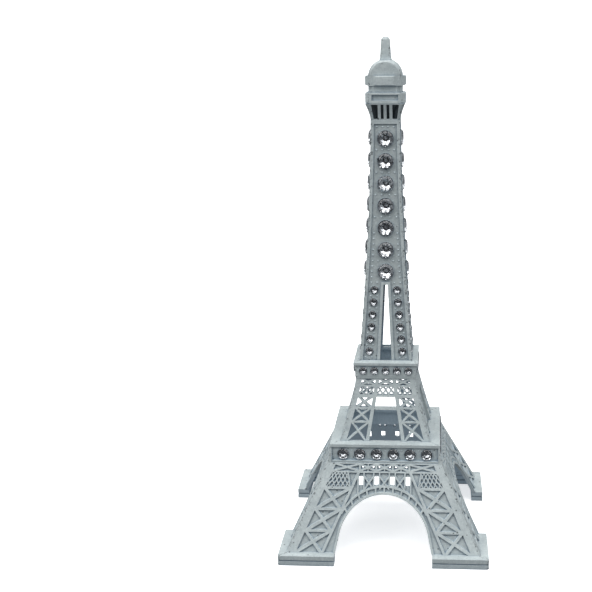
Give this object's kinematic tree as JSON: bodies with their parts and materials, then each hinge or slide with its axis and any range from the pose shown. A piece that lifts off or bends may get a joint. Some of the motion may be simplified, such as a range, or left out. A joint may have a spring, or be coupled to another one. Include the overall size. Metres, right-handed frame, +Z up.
{
  "type": "miniature landmark model",
  "caption": "Painted die-cast souvenir lattice tower with arched base, two ledges, flared gallery, domed lantern and spire, set with clear crystal stones.",
  "frame": {"origin": "centre of the square that the four feet stand in, on the surface they rest on", "axes": "+Z up along the tower's axis, +X to the right and -Y to the front of the tower"},
  "size_m": [0.074, 0.074, 0.18],
  "materials": {
    "paint": "matte pale grey enamel over a rough zinc casting",
    "crystal": "clear cut crystal with a foiled back",
    "foil": "silvered foil behind the stones"
  },
  "bodies": {
    "root": {"foot_front_left": "paint", "foot_front_right": "paint", "foot_back_right": "paint", "foot_back_left": "paint", "base_panel_front": "paint", "base_panel_right": "paint", "base_panel_back": "paint", "base_panel_left": "paint", "first_floor_front": "paint", "first_floor_right": "paint", "first_floor_back": "paint", "first_floor_left": "paint", "middle_panel_front": "paint", "middle_panel_right": "paint", "middle_panel_back": "paint", "middle_panel_left": "paint", "second_floor_front": "paint", "second_floor_right": "paint", "second_floor_back": "paint", "second_floor_left": "paint", "column_panel_front": "paint", "column_panel_right": "paint", "column_panel_back": "paint", "column_panel_left": "paint", "gallery_core": "paint", "gallery_cage": "paint", "gallery_box": "paint", "lantern_drum": "paint", "lantern_collar": "paint", "lantern_dome": "paint", "spire": "paint", "floor1_stones_front": "crystal", "floor1_stones_right": "crystal", "floor1_stones_back": "crystal", "floor1_stones_left": "crystal", "floor2_stones_front": "crystal", "floor2_stones_right": "crystal", "floor2_stones_back": "crystal", "floor2_stones_left": "crystal", "small_stones_front": "crystal", "small_stones_right": "crystal", "small_stones_back": "crystal", "small_stones_left": "crystal", "big_stones_front": "crystal", "big_stones_right": "crystal", "big_stones_back": "crystal", "big_stones_left": "crystal"}
  },
  "joints": []
}
